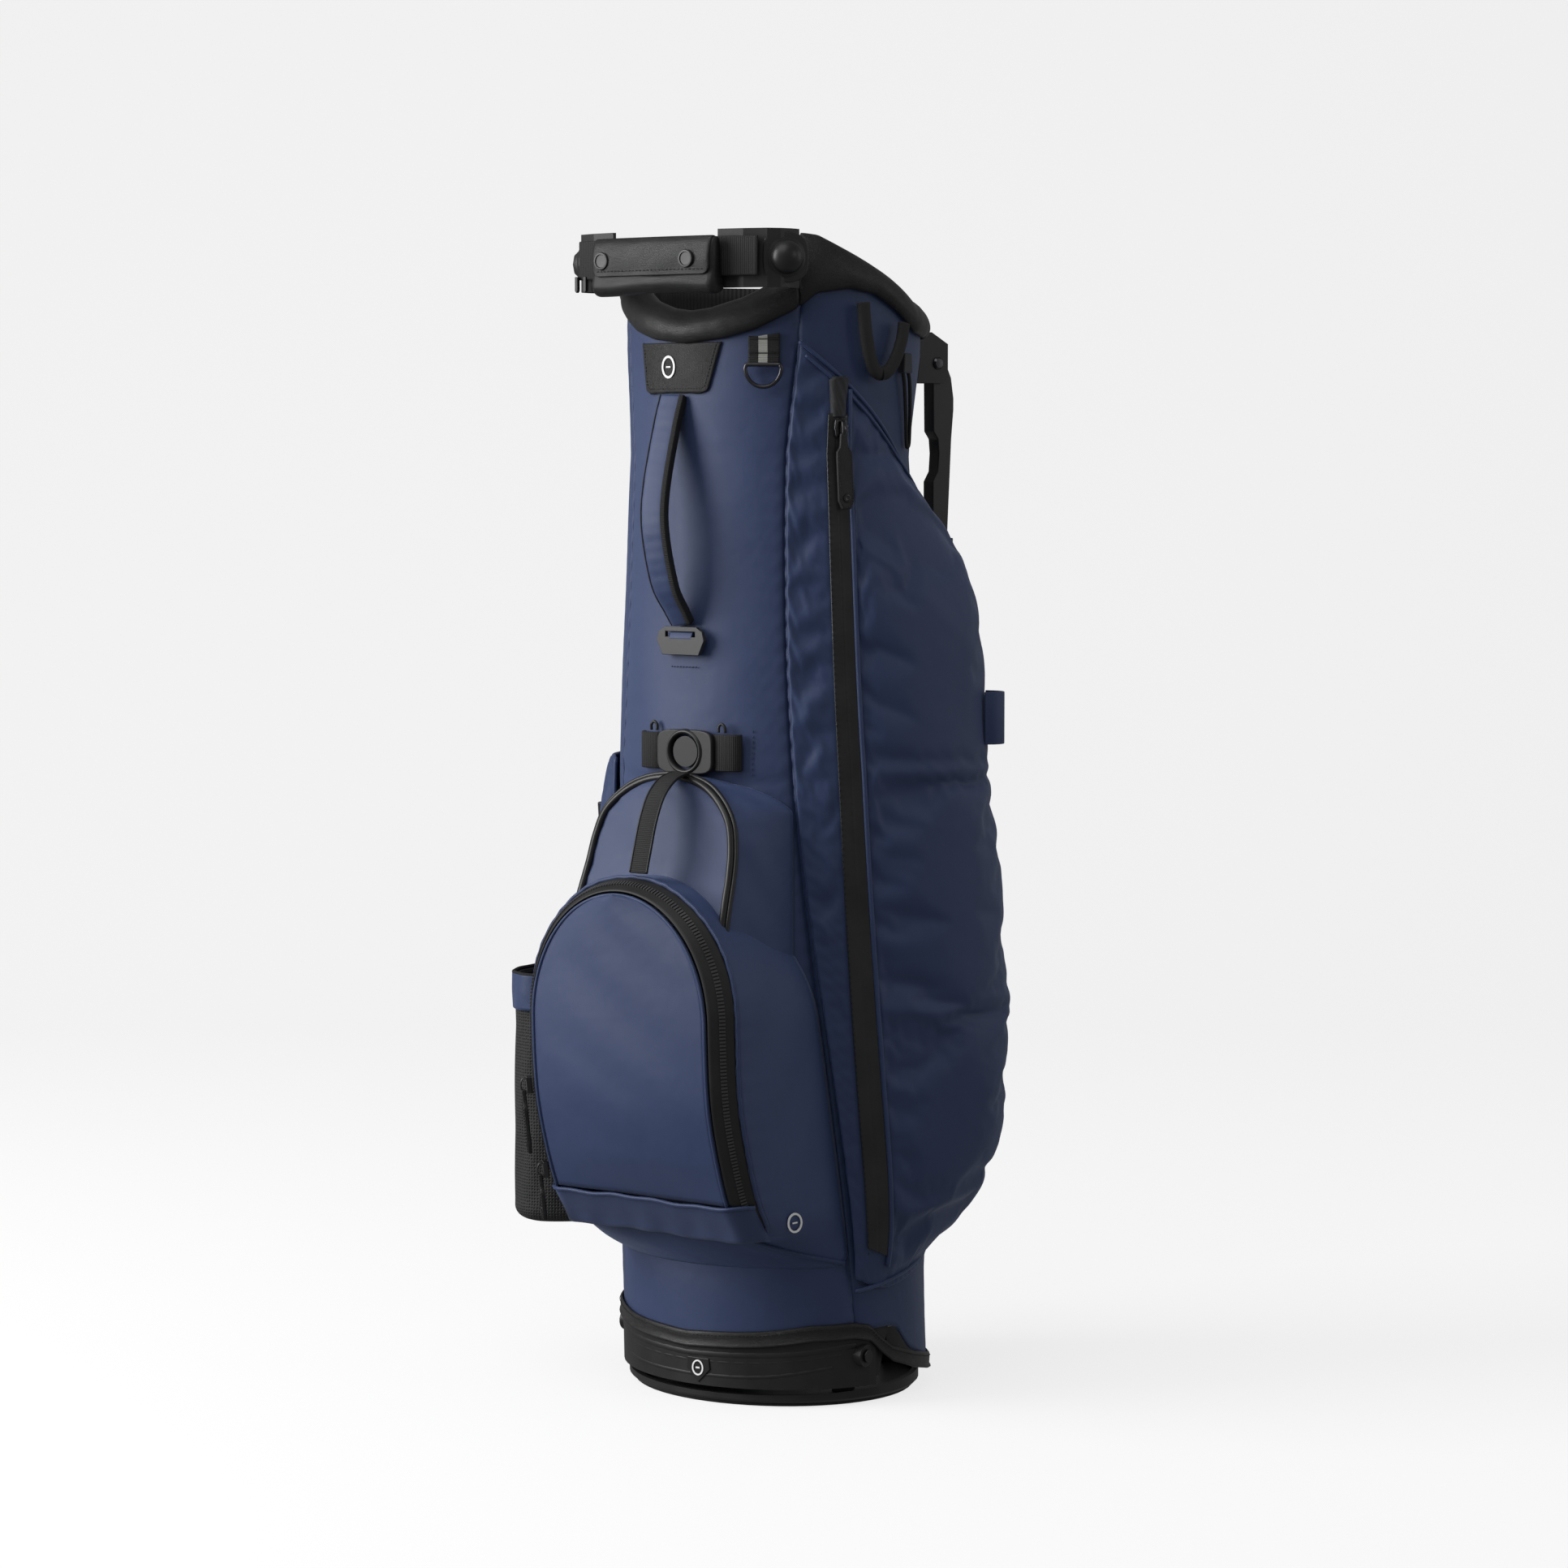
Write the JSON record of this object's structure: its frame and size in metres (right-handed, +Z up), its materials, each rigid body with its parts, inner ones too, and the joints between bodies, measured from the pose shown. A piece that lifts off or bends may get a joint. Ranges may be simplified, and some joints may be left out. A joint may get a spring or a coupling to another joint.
{
  "type": "golf stand bag",
  "caption": "Soft golf stand bag with a divided mouth, tilting foot, folding legs worked by push rods, zipped pockets, bottle sleeve and a hinged lift handle.",
  "frame": {"origin": "centre of the foot's underside, on the floor", "axes": "+Z up along the trunk, -Y the front with the spine handle and ball pocket, +X the side of the clothing pocket, +Y the side of the legs"},
  "size_m": [0.3518, 0.3465, 0.881],
  "materials": {
    "navy_cloth": "woven, padded, semi-matt",
    "navy_side_cloth": "woven, padded, semi-matt",
    "black_leather": "grained synthetic leather, soft sheen",
    "black_webbing": "ribbed webbing, matt",
    "striped_webbing": "ribbed webbing with a grey stripe, matt",
    "black_plastic": "moulded, fine grain",
    "black_mesh": "open mesh, matt",
    "liner_cloth": "brushed, matt",
    "zipper": "coated tape, satin",
    "black_metal": "black, satin",
    "leg_alloy": "black anodised, satin",
    "rubber": "matt",
    "cord": "braided, matt"
  },
  "bodies": {
    "bag": {"boot_cup": "black_plastic", "well_floor": "black_plastic", "front_shell": "black_plastic", "boot_trim": "black_leather", "pivot_screw_right": "black_metal", "pivot_screw_left": "black_metal", "front_panel": "navy_cloth", "right_panel": "navy_side_cloth", "rear_panel": "navy_side_cloth", "left_panel": "navy_side_cloth", "lining": "liner_cloth", "dividers": "liner_cloth", "collar_lip": "black_leather", "collar_cheek_right": "black_leather", "collar_cheek_left": "black_leather", "collar_rear": "black_leather", "throat": "liner_cloth", "divider_frame": "liner_cloth", "handle_mount_right": "black_plastic", "handle_mount_left": "black_plastic", "spine_patch": "black_leather", "spine_handle": "navy_cloth", "striped_strap": "striped_webbing", "magnet_clip": "black_plastic", "clip_magnet": "black_metal", "ball_pocket": "navy_side_cloth", "upper_pocket": "navy_cloth", "pull_loop": "black_webbing", "coat_pocket": "navy_side_cloth", "coat_zip": "zipper", "bottle_pocket": "black_mesh", "left_pouch": "navy_side_cloth", "towel_loop": "black_webbing", "shock_cord": "cord", "stand_bracket": "black_plastic", "stand_axle_right": "black_metal", "stand_axle_left": "black_metal"},
    "foot": {"foot_plate": "black_plastic", "foot_sole": "rubber"},
    "leg_right": {"leg_knuckle_right": "black_plastic", "leg_tube_right": "leg_alloy", "leg_shoe_right": "rubber"},
    "leg_left": {"leg_knuckle_left": "black_plastic", "leg_tube_left": "leg_alloy", "leg_shoe_left": "rubber"},
    "rod_right": {"push_rod_right": "black_metal"},
    "rod_left": {"push_rod_left": "black_metal"},
    "handle": {"handle_webbing": "black_webbing", "handle_grip": "black_leather", "handle_bracket_right": "black_plastic", "handle_bracket_left": "black_plastic"},
    "door": {"ball_door": "navy_cloth"},
    "upper_slider": {"ball_slider_upper": "black_metal"},
    "upper_puller": {"ball_puller_upper": "black_leather"},
    "lower_slider": {"ball_slider_lower": "black_metal"},
    "lower_puller": {"ball_puller_lower": "black_leather"},
    "coat_slider": {"coat_slider": "black_metal"},
    "coat_puller": {"coat_puller": "black_leather"},
    "d_ring": {"d_ring": "black_metal"},
    "strap_ring": {"strap_ring": "black_plastic"}
  },
  "joints": [
    {"name": "foot_tilt", "type": "hinge", "parent": "bag", "child": "foot", "pos_m": [0, -0.04, 0.038], "axis": [1, 0, 0], "range_deg": [0, 12], "stiffness_Nm_per_rad": 4, "springref_deg": -45.84},
    {"name": "leg_swing_right", "type": "hinge", "parent": "bag", "child": "leg_right", "pos_m": [0.055, 0.128, 0.787], "axis": [0.9659, -0.2588, 0], "range_deg": [0, 29.6]},
    {"name": "leg_swing_left", "type": "hinge", "parent": "bag", "child": "leg_left", "pos_m": [-0.055, 0.128, 0.787], "axis": [0.9659, 0.2588, 0], "range_deg": [0, 29.6]},
    {"name": "rod_swing_right", "type": "hinge", "parent": "leg_right", "child": "rod_right", "pos_m": [0.06805, 0.13693, 0.647], "axis": [0.9659, -0.2588, 0], "range_deg": [-36, 0]},
    {"name": "rod_swing_left", "type": "hinge", "parent": "leg_left", "child": "rod_left", "pos_m": [-0.06805, 0.13693, 0.647], "axis": [0.9659, 0.2588, 0], "range_deg": [-36, 0]},
    {"name": "handle_swing", "type": "hinge", "parent": "bag", "child": "handle", "pos_m": [0, -0.106, 0.8595], "axis": [-1, 0, 0], "range_deg": [0, 45]},
    {"name": "ball_door_swing", "type": "hinge", "parent": "bag", "child": "door", "pos_m": [0, -0.1675, 0.1658], "axis": [1, 0, 0], "range_deg": [0, 60]},
    {"name": "ring_swing", "type": "hinge", "parent": "bag", "child": "strap_ring", "pos_m": [0, -0.11621, 0.5862], "axis": [-1, 0, 0], "range_deg": [0, 25]},
    {"name": "d_ring_swing", "type": "hinge", "parent": "bag", "child": "d_ring", "pos_m": [0.06239, -0.09716, 0.7826], "axis": [-0.8572, -0.515, 0], "range_deg": [0, 60]},
    {"name": "coat_slider_slide", "type": "slide", "parent": "bag", "child": "coat_slider", "axis": [-0.0601, 0.0132, 0.9981], "range_m": [-0.2, 0]},
    {"name": "coat_puller_swing", "type": "hinge", "parent": "coat_slider", "child": "coat_puller", "pos_m": [0.11146, -0.06408, 0.73191], "axis": [-0.496, -0.8681, -0.0184], "range_deg": [0, 100]},
    {"name": "upper_slider_slide", "type": "slide", "parent": "bag", "child": "upper_slider", "axis": [0, -0.0797, 0.9968], "range_m": [0, 0.05]},
    {"name": "upper_puller_swing", "type": "hinge", "parent": "upper_slider", "child": "upper_puller", "pos_m": [-0.0968, -0.18661, 0.23905], "axis": [-0.6919, 0.722, 0], "range_deg": [0, 100]},
    {"name": "lower_slider_slide", "type": "slide", "parent": "bag", "child": "lower_slider", "axis": [0, -0.3482, 0.9374], "range_m": [-0.012, 0]},
    {"name": "lower_puller_swing", "type": "hinge", "parent": "lower_slider", "child": "lower_puller", "pos_m": [-0.0968, -0.16746, 0.17205], "axis": [-0.6919, 0.722, 0], "range_deg": [0, 100]}
  ],
  "couplings": [
    {"joint": "leg_swing_right", "follows": "foot_tilt", "ratio": 2.4406},
    {"joint": "leg_swing_left", "follows": "foot_tilt", "ratio": 2.4406},
    {"joint": "rod_swing_right", "follows": "foot_tilt", "ratio": -2.9738},
    {"joint": "rod_swing_left", "follows": "foot_tilt", "ratio": -2.9738}
  ]
}
